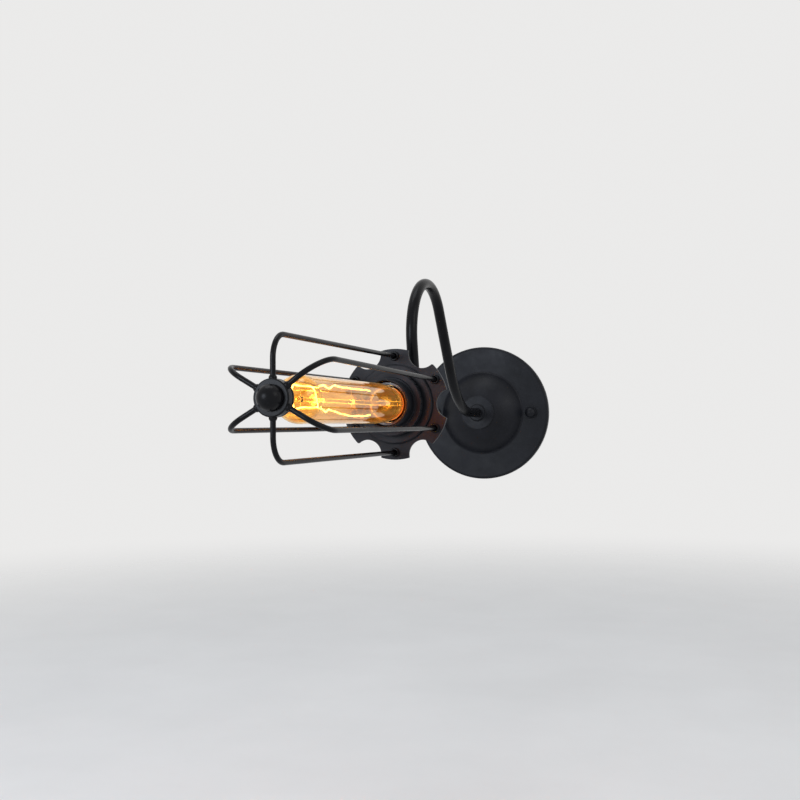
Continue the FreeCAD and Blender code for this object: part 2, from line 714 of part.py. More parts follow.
def build_holder_ring():
    """Ring that screws onto the sleeve and clamps the boss and the cage plate on its shoulder."""
    back = CAGE_PLATE_THICKNESS + BOSS_THICKNESS
    rim = back + RING_BACK
    front = rim + RING_RIM
    bore = SLEEVE_RADIUS + FIT_GAP
    ring = head_turned(
        [
            (back, bore),
            (back, RING_BACK_RADIUS),
            (rim, RING_BACK_RADIUS),
            (rim, RING_FLANGE_RADIUS - 0.6),
            bend((rim + 0.6, RING_FLANGE_RADIUS - 0.6), 0.6, 180, 90),
            (front - 0.8, RING_FLANGE_RADIUS),
            bend((front - 0.8, RING_FLANGE_RADIUS - 0.8), 0.8, 90, 0),
            (front, bore + 2.0),
            (front + 1.4, bore + 1.6),
            (front + 1.4, bore),
        ]
    )
    grooves = []
    for k in range(RING_GROOVES):
        x, height = on_circle(RING_FLANGE_RADIUS + 0.2, 360 / RING_GROOVES * k)
        grooves.append(rod(in_head(rim - 1, x, height), OUT, RING_GROOVE_RADIUS, RING_RIM + 2))
    return ring.cut(grooves)


# ---- Cage plate and boss ------------------------------------------------------------------------
def wire_angles():
    return [90 + 360 / WIRE_COUNT * k for k in range(WIRE_COUNT)]


def build_cage_plate():
    plate = rod(in_head(0), OUT, CAGE_PLATE_RADIUS, CAGE_PLATE_THICKNESS)
    cuts = [rod(in_head(-1), OUT, SLEEVE_RADIUS + FIT_GAP, CAGE_PLATE_THICKNESS + 2)]
    for angle in wire_angles():
        x, height = on_circle(SCALLOP_CENTRE_RADIUS, angle + 180 / WIRE_COUNT)
        cuts.append(rod(in_head(-1, x, height), OUT, SCALLOP_RADIUS, CAGE_PLATE_THICKNESS + 2))
        x, height = on_circle(WIRE_CIRCLE_RADIUS, angle)
        cuts.append(rod(in_head(-1, x, height), OUT, WIRE_RADIUS + FIT_GAP, CAGE_PLATE_THICKNESS + 2))
    plate = plate.cut(cuts)
    corners = [e for e in plate.Edges if is_lug_corner(e)]
    return plate.makeFillet(LUG_CORNER_ROUND, corners)


def is_lug_corner(edge):
    """True for the short edges through the plate's thickness where a lug meets a scallop."""
    box = edge.BoundBox
    if box.XLength > 0.01 or box.ZLength > 0.01:
        return False
    radius = math.hypot(box.Center.x, box.Center.z - HEAD_Z)
    return abs(radius - CAGE_PLATE_RADIUS) < 0.5


def build_plate_boss():
    t = CAGE_PLATE_THICKNESS
    front = t + BOSS_THICKNESS
    return head_turned(
        [
            (t, SLEEVE_RADIUS + FIT_GAP),
            (t, BOSS_RADIUS),
            (front - 1.2, BOSS_RADIUS),
            bend((front - 1.2, BOSS_RADIUS - 1.2), 1.2, 90, 0),
            (front, SLEEVE_RADIUS + FIT_GAP),
        ]
    )


# ---- Cage ---------------------------------------------------------------------------------------
def spoke_angles():
    """The wires' own angles, but for the last wire, which is bent askew."""
    angles = wire_angles()
    return angles[:-1] + [angles[-1] + ASKEW_TURN]


def build_cage_wire(angle, spoke_angle):
    """One wire: threaded tail through its lug, long leg, bend, and a spoke into the hub."""
    tail = in_head(-WIRE_TAIL, *on_circle(WIRE_CIRCLE_RADIUS, angle))
    corner = in_head(SPOKE_T, *on_circle(WIRE_CIRCLE_RADIUS, spoke_angle))
    end = in_head(SPOKE_T, *on_circle(HUB_RADIUS - SPOKE_SOCKET, spoke_angle))
    if spoke_angle == angle:
        start, middle, stop = rounded_corner(tail, corner, end, WIRE_BEND_RADIUS)
        leg = [line(tail, start)]
    else:
        knee = in_head(KNEE_T, *on_circle(WIRE_CIRCLE_RADIUS, angle))
        start, middle, stop = rounded_corner(knee, corner, end, ASKEW_BEND_RADIUS)
        knee_points = rounded_corner(tail, knee, corner, KNEE_RADIUS)
        leg = [line(tail, knee_points[0]), arc(*knee_points), line(knee_points[2], start)]
    return swept(leg + [arc(start, middle, stop), line(stop, end)], WIRE_RADIUS, tail, OUT)


def wire_places(t):
    return [in_head(t, *on_circle(WIRE_CIRCLE_RADIUS, angle)) for angle in wire_angles()]


def build_wire_nuts():
    bore = WIRE_RADIUS + FIT_GAP
    return [hexagon(place, -OUT, WIRE_NUT_FLATS, WIRE_NUT_THICKNESS, bore) for place in wire_places(0)]


def build_wire_collars():
    bore = WIRE_RADIUS + FIT_GAP
    collar = turned(
        [
            (0, bore),
            (0, WIRE_COLLAR_RADIUS),
            (WIRE_COLLAR - 0.7, WIRE_COLLAR_RADIUS),
            bend((WIRE_COLLAR - 0.7, WIRE_COLLAR_RADIUS - 0.7), 0.7, 90, 0),
            (WIRE_COLLAR, bore + WIRE_COLLAR_SINK),
            (WIRE_COLLAR - WIRE_COLLAR_SINK, bore),
        ]
    )
    return [collar.translated(place) for place in wire_places(CAGE_PLATE_THICKNESS)]


def build_cage_hub():
    """Turned disc with a socket for each spoke and a weld bead round each spoke at its rim."""
    back, front = SPOKE_T - HUB_BEHIND, SPOKE_T + HUB_FRONT
    groove = SPOKE_T - WIRE_RADIUS - 1.2
    hub = head_turned(
        [
            (back, 0),
            (back, HUB_RADIUS - 0.9),
            bend((back + 0.9, HUB_RADIUS - 0.9), 0.9, 180, 90),
            (groove - HUB_GROOVE, HUB_RADIUS),
            bend((groove, HUB_RADIUS), HUB_GROOVE, 180, 360),
            (front - 0.9, HUB_RADIUS),
            bend((front - 0.9, HUB_RADIUS - 0.9), 0.9, 90, 0),
            (front, 0),
        ]
    )
    beads, sockets = [], []
    for angle in spoke_angles():
        x, height = on_circle(HUB_RADIUS + 0.2, angle)
        beads.append(Part.makeSphere(WELD_RADIUS, in_head(SPOKE_T, x, height)))
        x, height = on_circle(HUB_RADIUS - SPOKE_SOCKET - FIT_GAP, angle)
        start = in_head(SPOKE_T, x, height)
        outward = V(x, 0, height).normalize()
        sockets.append(rod(start, outward, WIRE_RADIUS + FIT_GAP, HUB_RADIUS))
    bore = rod(in_head(front - SPIGOT - FIT_GAP), OUT, SPIGOT_RADIUS + FIT_GAP, SPIGOT + 2)
    return hub.fuse(beads).cut(sockets + [bore])


def build_cage_finial():
    front = SPOKE_T + HUB_FRONT
    centre = front + FINIAL_CENTRE
    base_angle = math.degrees(math.acos(-FINIAL_CENTRE / FINIAL_RADIUS))
    base_radius = FINIAL_RADIUS * math.sin(math.radians(base_angle))
    return head_turned(
        [
            (front - SPIGOT, 0),
            (front - SPIGOT, SPIGOT_RADIUS),
            (front, SPIGOT_RADIUS),
            (front, base_radius),
            bend((centre, 0), FINIAL_RADIUS, base_angle, 0),
        ]
    )


# ---- Lamp ---------------------------------------------------------------------------------------
INSULATOR_T = LAMP_BASE + TIP
THREAD_T = INSULATOR_T + INSULATOR_LENGTH + CAP_FOOT
SKIRT_T = THREAD_T + THREADS * THREAD_PITCH
CAP_END_T = SKIRT_T + CAP_SKIRT
LAMP_END_T = LAMP_BASE + LAMP_LENGTH


def build_lamp_cap():
    """Rolled brass cap. Its thread is a row of rounded ridges at the thread's pitch."""
    outside = [(INSULATOR_T + INSULATOR_LENGTH, INSULATOR_RADIUS), (THREAD_T, THREAD_ROOT_RADIUS)]
    inside = [(CAP_END_T, GLASS_NECK_RADIUS), (SKIRT_T + 0.8, GLASS_NECK_RADIUS)]
    inside += [(SKIRT_T, THREAD_ROOT_RADIUS - CAP_WALL)]
    for k in range(THREADS):
        start = THREAD_T + k * THREAD_PITCH
        crest = (start + THREAD_PITCH / 2, THREAD_RADIUS)
        outside.append((crest, (start + THREAD_PITCH, THREAD_ROOT_RADIUS)))
    outside += [(SKIRT_T + 0.8, GLASS_NECK_RADIUS + CAP_WALL), (CAP_END_T, GLASS_NECK_RADIUS + CAP_WALL)]
    inside += [(THREAD_T, THREAD_ROOT_RADIUS - CAP_WALL)]
    inside += [(INSULATOR_T + INSULATOR_LENGTH, INSULATOR_RADIUS - 1.0)]
    return head_turned(outside + inside)


def build_lamp_insulator():
    return head_turned(
        [
            (INSULATOR_T, 0),
            (INSULATOR_T, TIP_RADIUS + 1.2),
            (INSULATOR_T + INSULATOR_LENGTH, INSULATOR_RADIUS),
            (INSULATOR_T + INSULATOR_LENGTH, 0),
        ]
    )


def build_lamp_tip():
    sphere = (TIP_RADIUS ** 2 + TIP ** 2) / (2 * TIP)
    edge = math.degrees(math.asin(TIP_RADIUS / sphere))
    return head_turned(
        [
            (INSULATOR_T, 0),
            (INSULATOR_T, TIP_RADIUS),
            bend((LAMP_BASE + sphere, 0), sphere, 180 - edge, 180),
        ]
    )


NECK_RADIUS_OUT = GLASS_NECK_RADIUS - FIT_GAP
SHOULDER_RISE = GLASS_RADIUS - NECK_RADIUS_OUT
SHOULDER_SWEEP = (GLASS_SHOULDER ** 2 + SHOULDER_RISE ** 2) / (2 * SHOULDER_RISE)


def glass_radius(t):
    """Outer radius of the envelope on its long shoulder, an arc that runs out into the straight body."""
    before = CAP_END_T + GLASS_SHOULDER - t
    return GLASS_RADIUS - SHOULDER_SWEEP + math.sqrt(SHOULDER_SWEEP ** 2 - before ** 2)


def glass_outline(inset, foot):
    """Steps of the envelope from the axis at its foot to the axis at its rounded end."""
    neck = NECK_RADIUS_OUT - inset
    body = GLASS_RADIUS - inset
    middle = CAP_END_T + GLASS_SHOULDER / 2
    dome_start = LAMP_END_T - GLASS_RADIUS
    return [
        (foot, 0),
        (foot, neck),
        (CAP_END_T, neck),
        ((middle, glass_radius(middle) - inset), (CAP_END_T + GLASS_SHOULDER, body)),
        (dome_start, body),
        bend((dome_start, 0), body, 90, 0),
    ]


def build_lamp_glass():
    foot = SKIRT_T + 1.5
    return head_turned(glass_outline(0, foot)).cut(head_turned(glass_outline(GLASS_WALL, foot - 1)))


def lead_run(side):
    """Start of one lead, in the stem's pinch, and its way to the filament's near end."""
    start = in_head(STEM_FLARE_T + STEM_LENGTH - LEAD_SINK, 0, side * LEAD_ROOT_RADIUS)
    return start, in_head(STRAND_LOW - 2 * STRAND_RADIUS, 0, side * STRAND_CIRCLE) - start


def build_lamp_stem():
    """Pressed glass stem sealed across the neck, with the long rod that carries the hooks."""
    foot = STEM_FLARE_T
    flare = glass_radius(foot) - GLASS_WALL - FIT_GAP
    top = foot + STEM_LENGTH
    stem = head_turned(
        [
            (foot, 0),
            (foot, flare),
            (foot + STEM_FLARE, flare),
            ((foot + STEM_FLARE + 2.2, STEM_RADIUS + 1.8), (foot + STEM_FLARE + 8.0, STEM_RADIUS)),
            (top - 6, STEM_RADIUS),
            (top, STEM_ROD_RADIUS),
            (CROSS_T - ROD_BEAD_RADIUS, STEM_ROD_RADIUS),
            ((CROSS_T, ROD_BEAD_RADIUS), (CROSS_T + ROD_BEAD_RADIUS, STEM_ROD_RADIUS)),
            (HOOK_FAR_T - ROD_BEAD_RADIUS, STEM_ROD_RADIUS),
            ((HOOK_FAR_T, ROD_BEAD_RADIUS), (HOOK_FAR_T + ROD_BEAD_RADIUS, STEM_ROD_RADIUS)),
            (ROD_END - STEM_ROD_RADIUS, STEM_ROD_RADIUS),
            bend((ROD_END - STEM_ROD_RADIUS, 0), STEM_ROD_RADIUS, 90, 0),
        ]
    )
    for side in (-1, 1):
        start, way = lead_run(side)
        stem = stem.cut(rod(start, way, LEAD_RADIUS + FIT_GAP, way.Length))
    return stem


def wire_run(corners, radius):
    """Round wire along straight runs, with a ball at each corner."""
    pieces = [Part.makeSphere(radius * 1.15, corner) for corner in corners]
    for a, b in zip(corners, corners[1:]):
        pieces.append(Part.makeCylinder(radius, (b - a).Length, a, b - a))
    return pieces


def build_lamp_filament():
    """Hairpin of two long runs, joined round the end of the rod, with a run that crosses between them."""
    up, down = STRAND_CIRCLE, -STRAND_CIRCLE
    hairpin = [
        in_head(STRAND_LOW, 0, up),
        in_head(STRAND_HIGH, 0, up),
        in_head(STRAND_HIGH, 0, down),
        in_head(STRAND_LOW, 0, down),
    ]
    crossing = [
        in_head(CROSS_T + CROSS_SLANT, 0, up),
        in_head(CROSS_T, CROSS_BOW, 0),
        in_head(CROSS_T - CROSS_SLANT, 0, down),
    ]
    pieces = wire_run(hairpin, STRAND_RADIUS) + wire_run(crossing, STRAND_RADIUS)
    return pieces[0].fuse(pieces[1:])


def build_lamp_leads():
    """Two wires from the stem's pinch out to the near ends of the filament."""
    leads = []
    for side in (-1, 1):
        start, way = lead_run(side)
        leads.append(rod(start, way, LEAD_RADIUS, way.Length))
    return leads


def build_lamp_hooks():
    """Fine radial wires from the rod to the filament's two long runs."""
    hooks = []
    stop = STRAND_CIRCLE - STRAND_RADIUS - 0.05
    for t, start in ((HOOK_NEAR_T, STEM_ROD_RADIUS), (HOOK_FAR_T, ROD_BEAD_RADIUS)):
        for side in (-1, 1):
            hooks.append(rod(in_head(t, 0, side * start), V(0, 0, side), HOOK_RADIUS, stop - start))
    return hooks


# ---- Node list ----------------------------------------------------------------------------------
def nodes():
    made = {
        "wall_plate": build_wall_plate(),
        "arm_collar": build_arm_collar(),
        "arm_washer": build_arm_washer(),
        "arm_lock_nut": build_arm_lock_nut(),
        "mounting_strap": build_mounting_strap(),
        "mounting_studs": build_mounting_studs(),
        "cap_nuts": build_cap_nuts(),
        "earth_screw": build_earth_screw(),
        "terminal_block": build_terminal_block(),
        "terminal_screws": build_terminal_screws(),
        "arm_tube": build_arm_tube(),
        "arm_flex": build_arm_flex(),
        "arm_knuckle": build_arm_knuckle(),
        "head_knuckle": build_head_knuckle(),
        "pivot_screw": build_pivot_screw(),
        "pivot_nut": build_pivot_nut(),
        "holder_nipple": build_holder_nipple(),
        "nipple_nut": build_nipple_nut(),
        "holder_cup": build_holder_cup(),
        "holder_sleeve": build_holder_sleeve(),
        "holder_core": build_holder_core(),
        "holder_screw_shell": build_holder_screw_shell(),
        "holder_contact": build_holder_contact(),
        "holder_ring": build_holder_ring(),
        "head_flex": build_head_flex(),
        "cage_plate": build_cage_plate(),
        "plate_boss": build_plate_boss(),
        "wire_nuts": build_wire_nuts(),
        "wire_collars": build_wire_collars(),
        "cage_hub": build_cage_hub(),
        "cage_finial": build_cage_finial(),
        "lamp_cap": build_lamp_cap(),
        "lamp_insulator": build_lamp_insulator(),
        "lamp_tip": build_lamp_tip(),
        "lamp_glass": build_lamp_glass(),
        "lamp_stem": build_lamp_stem(),
        "lamp_filament": build_lamp_filament(),
        "lamp_leads": build_lamp_leads(),
        "lamp_hooks": build_lamp_hooks(),
    }
    for number, angles in enumerate(zip(wire_angles(), spoke_angles()), 1):
        made["cage_wire_%d" % number] = build_cage_wire(*angles)
    return made


os.makedirs("parts", exist_ok=True)
for name, shape in nodes().items():
    if isinstance(shape, list):
        shape = Part.makeCompound(shape)
    shape.exportStep("parts/%s.step" % name)
    print(name, len(shape.Solids), round(shape.Volume, 1), shape.isValid())
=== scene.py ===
"""Looks of the cage wall light, seen from the room, a little to the right of it and level with it.

The solids of the frame are shown as they are, in coats, metals and glass made of nodes. The
filament is replaced by wavy glowing strands, and warm lamps inside the glass stand for its light.
"""

import json
import math

import bpy
from mathutils import Matrix, Vector

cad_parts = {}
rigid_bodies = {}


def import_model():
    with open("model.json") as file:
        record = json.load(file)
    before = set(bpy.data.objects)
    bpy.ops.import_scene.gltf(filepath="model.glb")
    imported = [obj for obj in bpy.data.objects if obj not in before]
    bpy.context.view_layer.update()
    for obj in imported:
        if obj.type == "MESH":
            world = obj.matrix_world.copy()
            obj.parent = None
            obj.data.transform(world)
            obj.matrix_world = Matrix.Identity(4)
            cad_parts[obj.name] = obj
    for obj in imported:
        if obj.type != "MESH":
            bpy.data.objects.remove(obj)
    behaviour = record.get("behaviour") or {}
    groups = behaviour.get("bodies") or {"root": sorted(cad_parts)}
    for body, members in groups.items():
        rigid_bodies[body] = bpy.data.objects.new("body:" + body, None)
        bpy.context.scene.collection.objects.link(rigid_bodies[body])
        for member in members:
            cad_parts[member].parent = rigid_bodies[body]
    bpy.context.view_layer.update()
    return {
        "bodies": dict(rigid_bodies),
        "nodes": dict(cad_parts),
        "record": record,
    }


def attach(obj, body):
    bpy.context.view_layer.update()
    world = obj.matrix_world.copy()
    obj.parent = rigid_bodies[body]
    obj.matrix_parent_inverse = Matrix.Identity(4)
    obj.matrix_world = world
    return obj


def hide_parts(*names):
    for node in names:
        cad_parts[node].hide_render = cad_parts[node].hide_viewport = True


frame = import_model()

MM = 0.001

# ---- Camera, solved from the circles of the plate, disc and cage --------------------------------
CAMERA_PLACE = Vector((250.24, -1058.64, -10.88)) * MM
CAMERA_YAW = math.radians(-18.02)
CAMERA_PITCH = math.radians(1.33)
CAMERA_ROLL = math.radians(-0.34)
LENS = 45.68
SENSOR = 36.0

# ---- The head's axis: level, along -Y, measured from the back face of the cage's plate ----------
HEAD_BACK_Y = -300.51 * MM
HEAD_Z = 4.3335 * MM
STEM_ROD_RADIUS = 1.4 * MM
FLARE_RADIUS = 12.2 * MM  # of the stem's flared foot
FLARE_FRONT = 28.5 * MM
ROD_PAINTED_GLOW_END = (150 * MM, 156 * MM)  # where the painted glow lines on the stem's rod fade out
STRAND_RADIUS = 0.5 * MM
STRAND_SIDE_WAVE = 0.6  # mm
STRAND_WAVE_RATE = 0.31  # radians for each mm along the axis
CROSSING_BOW = 0.8  # mm

# ---- Filament, hand-wound and uneven: distance along the axis and height over it, in mm ---------
UPPER_STRAND = (
    (62.0, 8.9), (70, 9.5), (79, 9.0), (90, 9.4), (98, 9.0), (108, 9.7), (117, 9.2), (126, 10.2),
    (131, 10.7), (136, 9.9), (140, 8.1), (144, 8.2), (148, 10.1), (152, 9.9), (158, 9.0),
    (166, 8.5), (173, 8.9), (181, 8.2), (190, 8.4), (195.6, 8.6),
)  # fmt: skip
LOWER_STRAND = (
    (62.0, -8.9), (71, -9.6), (80, -9.9), (88, -9.4), (97, -9.9), (105, -9.6), (113, -8.9),
    (120, -8.4), (128, -7.3), (136, -6.3), (142, -5.7), (145, -6.9), (148, -7.6), (151, -6.0),
    (155, -5.0), (162, -4.8), (172, -5.1), (180, -4.7), (188, -5.2), (195.6, -6.4),
)  # fmt: skip
CROSSING_STRAND = ((166, 8.5), (162.6, 6.6), (161.4, 3.4), (160.8, 0.2), (158.6, -2.8), (155, -5.0))
END_TURN = ((195.6, 8.6), (198.2, 6.4), (199.0, 1.4), (198.4, -3.6), (195.6, -6.4))

# ---- Stage and light ----------------------------------------------------------------------------
FLOOR_Z = -0.310  # just under the head when it hangs straight down
FLOOR_RADIUS = 1.9
FLOOR_SIDES = 96
FLOOR_CLEAR = (0.45, 1.8)  # where the floor starts and ends melting into the background
BACKGROUND = (0.83, 0.826, 0.82, 1)
WORLD_LIGHT = 0.62
GLOW_POWER = 0.024
GLOW_COLOUR = (1.0, 0.36, 0.07)
GLOW_PLACES = (95, 150, 188)  # along the head's axis, in mm
GLOW_RADIUS = 4 * MM
# strength of the painted glow on the amber glass, which stands in for the filament's light scattered in it
AMBER_PAINTED_GLOW = 0.085
STRAND_EMISSION = 9.0


def aimed(place, target):
    """Turn and place of an object whose -Z looks from one point to another."""
    look = (Vector(target) - Vector(place)).normalized()
    return Matrix.Translation(place) @ look.to_track_quat("-Z", "Y").to_matrix().to_4x4()


def add_camera():
    data = bpy.data.cameras.new("camera")
    data.lens = LENS
    data.sensor_width = SENSOR
    forward = Vector(
        (
            math.sin(CAMERA_YAW) * math.cos(CAMERA_PITCH),
            math.cos(CAMERA_YAW) * math.cos(CAMERA_PITCH),
            math.sin(CAMERA_PITCH),
        )
    )
    right = Vector((math.cos(CAMERA_YAW), -math.sin(CAMERA_YAW), 0))
    up = right.cross(forward)
    rolled_right = right * math.cos(CAMERA_ROLL) + up * math.sin(CAMERA_ROLL)
    rolled_up = up * math.cos(CAMERA_ROLL) - right * math.sin(CAMERA_ROLL)
    camera = bpy.data.objects.new("camera", data)
    turn = Matrix((rolled_right, rolled_up, -forward)).transposed()
    camera.matrix_world = Matrix.Translation(CAMERA_PLACE) @ turn.to_4x4()
    bpy.context.collection.objects.link(camera)
    bpy.context.scene.camera = camera


def add_soft_box(name, place, target, width, height, power, colour):
    data = bpy.data.lights.new(name, "AREA")
    data.shape = "RECTANGLE"
    data.size = width
    data.size_y = height
    data.energy = power
    data.color = colour
    lamp = bpy.data.objects.new(name, data)
    lamp.matrix_world = aimed(place, target)
    lamp.visible_camera = False
    bpy.context.collection.objects.link(lamp)


def add_lamp_glow():
    """Warm light of the filament on the cage, the holder and the arm. It turns with the head."""
    for number, t in enumerate(GLOW_PLACES):
        data = bpy.data.lights.new(f"lamp_glow_{number}", "POINT")
        data.energy = GLOW_POWER
        data.color = GLOW_COLOUR
        data.shadow_soft_size = GLOW_RADIUS
        lamp = bpy.data.objects.new(f"lamp_glow_{number}", data)
        lamp.location = (0, HEAD_BACK_Y - t * MM, HEAD_Z)
        lamp.parent = frame["bodies"]["head"]
        lamp.visible_transmission = False
        bpy.context.collection.objects.link(lamp)


# ---- Node helpers -------------------------------------------------------------------------------
MIX_COLOUR_A, MIX_COLOUR_B, MIX_COLOUR_RESULT = 6, 7, 2  # colour sockets of a mix node, by number


class Tree:
    """Node tree of one new material, with short ways to add and join nodes."""

    def __init__(self, name):
        self.material = bpy.data.materials.new(name)
        self.material.use_nodes = True
        self.nodes = self.material.node_tree.nodes
        self.links = self.material.node_tree.links
        self.shader = self.nodes["Principled BSDF"]
        self.output = self.nodes["Material Output"]
        self.place = self.add("ShaderNodeTexCoord").outputs["Object"]

    def add(self, kind, **settings):
        made = self.nodes.new(kind)
        for key, value in settings.items():
            setattr(made, key, value)
        return made

    def feed(self, socket, value):
        """Gives a socket a value or another node's output."""
        if isinstance(value, bpy.types.NodeSocket):
            self.links.new(value, socket)
        elif value is not None:
            socket.default_value = value

    def set(self, **values):
        """Settings of the shader, by its sockets' names with _ for a space."""
        for key, value in values.items():
            self.feed(self.shader.inputs[key.replace("_", " ")], value)

    def stretched(self, x, y, z):
        """The object's own coordinates in metres, multiplied along each axis."""
        mapping = self.add("ShaderNodeMapping")
        self.feed(mapping.inputs["Vector"], self.place)
        mapping.inputs["Scale"].default_value = (x, y, z)
        return mapping.outputs["Vector"]

    def noise(self, scale, detail=3.0, roughness=0.55, vector=None, distortion=0.0):
        made = self.add("ShaderNodeTexNoise")
        self.feed(made.inputs["Vector"], vector or self.place)
        made.inputs["Scale"].default_value = scale
        made.inputs["Detail"].default_value = detail
        made.inputs["Roughness"].default_value = roughness
        made.inputs["Distortion"].default_value = distortion
        return made.outputs["Fac"]

    def spread(self, value, low, high, to_low=0.0, to_high=1.0):
        """Maps a range onto another and stops at its ends."""
        made = self.add("ShaderNodeMapRange")
        self.feed(made.inputs["Value"], value)
        made.inputs["From Min"].default_value = low
        made.inputs["From Max"].default_value = high
        made.inputs["To Min"].default_value = to_low
        made.inputs["To Max"].default_value = to_high
        return made.outputs["Result"]

    def math(self, operation, a, b=0.0):
        made = self.add("ShaderNodeMath", operation=operation)
        self.feed(made.inputs[0], a)
        self.feed(made.inputs[1], b)
        return made.outputs[0]

    def blend(self, factor, a, b):
        """Colour between a and b."""
        made = self.add("ShaderNodeMix", data_type="RGBA")
        self.feed(made.inputs[0], factor)
        self.feed(made.inputs[MIX_COLOUR_A], a)
        self.feed(made.inputs[MIX_COLOUR_B], b)
        return made.outputs[MIX_COLOUR_RESULT]

    def rounded(self, radius):
        """Surface direction with its sharp edges rounded off."""
        made = self.add("ShaderNodeBevel", samples=4)
        made.inputs["Radius"].default_value = radius
        return made.outputs["Normal"]

    def edges(self, radius):
        """1 along sharp edges and 0 on flat or gently curved faces."""
        facing = self.add("ShaderNodeVectorMath", operation="DOT_PRODUCT")
        self.feed(facing.inputs[0], self.rounded(radius))
        self.feed(facing.inputs[1], self.add("ShaderNodeNewGeometry").outputs["Normal"])
        return self.spread(facing.outputs["Value"], 0.98, 0.78)

    def bump(self, height, strength, distance, normal=None):
        made = self.add("ShaderNodeBump")
        made.inputs["Strength"].default_value = strength
        made.inputs["Distance"].default_value = distance
        self.feed(made.inputs["Height"], height)
        self.feed(made.inputs["Normal"], normal)
        return made.outputs["Normal"]


# ---- Coats --------------------------------------------------------------------------------------
POWDER_SPECULAR = 0.16  # both low, so that the blacks stay deep under the pale room
GLOSS_SPECULAR = 0.12


def powder_coat():
    """Satin black coat with a fine pebbled skin, a blue-grey cast, dust and rubbed edges."""
    tree = Tree("powder_coat")
    clouds = tree.spread(tree.noise(38, 4), 0.35, 0.68)
    specks = tree.spread(tree.noise(900, 2), 0.60, 0.74)
    colour = tree.blend(clouds, (0.0045, 0.0052, 0.0075, 1), (0.0095, 0.0105, 0.0145, 1))
    colour = tree.blend(tree.math("MULTIPLY", specks, 0.3), colour, (0.05, 0.053, 0.060, 1))
    rub = tree.math("MULTIPLY", tree.edges(0.5 * MM), tree.spread(tree.noise(160, 3), 0.38, 0.62))
    colour = tree.blend(tree.math("MULTIPLY", rub, 0.5), colour, (0.07, 0.074, 0.085, 1))
    pebbles = tree.math("ADD", tree.noise(1500, 2), tree.math("MULTIPLY", tree.noise(520, 2), 0.6))
    skin = tree.bump(pebbles, 0.35, 0.05 * MM, tree.rounded(0.35 * MM))
    rough = tree.spread(tree.noise(70, 3), 0.3, 0.7, 0.36, 0.50)
    tree.set(Base_Color=colour, Roughness=rough, Normal=skin, Specular_IOR_Level=POWDER_SPECULAR)
    return tree.material


def gloss_coat():
    """Deep black glossy coat with a faint orange-peel skin, soft smears and dust."""
    tree = Tree("gloss_coat")
    smears = tree.spread(tree.noise(55, 4, vector=tree.stretched(1, 0.35, 1)), 0.38, 0.70)
    colour = tree.blend(smears, (0.0022, 0.0023, 0.0030, 1), (0.0060, 0.0062, 0.0075, 1))
    dust = tree.spread(tree.noise(1300, 2), 0.64, 0.76)
    colour = tree.blend(tree.math("MULTIPLY", dust, 0.2), colour, (0.045, 0.045, 0.048, 1))
    rub = tree.math("MULTIPLY", tree.edges(0.35 * MM), tree.spread(tree.noise(240, 3), 0.45, 0.66))
    colour = tree.blend(tree.math("MULTIPLY", rub, 0.35), colour, (0.06, 0.062, 0.07, 1))
    peel = tree.math("ADD", tree.noise(330, 2), tree.math("MULTIPLY", tree.noise(1100, 2), 0.4))
    skin = tree.bump(peel, 0.22, 0.06 * MM, tree.rounded(0.25 * MM))
    rough = tree.spread(smears, 0, 1, 0.20, 0.34)
    tree.set(Base_Color=colour, Roughness=rough, Normal=skin, Specular_IOR_Level=GLOSS_SPECULAR)
    return tree.material


# ---- Bare and plated metals ---------------------------------------------------------------------
def metal(name, light, dark, rough, streak, grain, pits):
    """Bare metal with drawing lines along one axis, cloudy tarnish, pits and bright edges."""
    tree = Tree(name)
    clouds = tree.spread(tree.noise(140, 4), 0.35, 0.66)
    lines = tree.noise(grain, 2, vector=tree.stretched(*streak))
    colour = tree.blend(clouds, light, dark)
    colour = tree.blend(tree.spread(lines, 0.42, 0.62, 0.0, 0.35), colour, dark)
    edge = tree.edges(0.3 * MM)
    colour = tree.blend(tree.math("MULTIPLY", edge, 0.6), colour, light)
    spots = tree.spread(tree.noise(1100, 2), 0.63, 0.72)
    pit_colour = tuple(c * 0.35 for c in dark[:3]) + (1,)
    colour = tree.blend(tree.math("MULTIPLY", spots, pits), colour, pit_colour)
    cloud_rough = tree.spread(clouds, 0, 1, rough, rough + 0.14)
    line_rough = tree.spread(lines, 0.3, 0.7, -0.04, 0.05)
    rough_map = tree.math("ADD", cloud_rough, line_rough)
    skin = tree.bump(lines, 0.25, 0.03 * MM, tree.rounded(0.2 * MM))
    tree.set(Base_Color=colour, Roughness=rough_map, Normal=skin, Metallic=1.0)
    return tree.material


# ---- Insulators ---------------------------------------------------------------------------------
def white_plastic():
    """Pale moulded plastic, slightly yellowed in clouds, with a fine moulded grain."""
    tree = Tree("white_plastic")
    clouds = tree.spread(tree.noise(120, 4), 0.35, 0.7)
    colour = tree.blend(clouds, (0.80, 0.79, 0.74, 1), (0.70, 0.67, 0.58, 1))
    grime = tree.spread(tree.noise(420, 4), 0.58, 0.78, 0, 0.35)
    colour = tree.blend(grime, colour, (0.42, 0.39, 0.33, 1))
    skin = tree.bump(tree.noise(1800, 2), 0.2, 0.04 * MM, tree.rounded(0.3 * MM))
    tree.set(Base_Color=colour, Roughness=tree.spread(clouds, 0, 1, 0.38, 0.52), Normal=skin)
    return tree.material


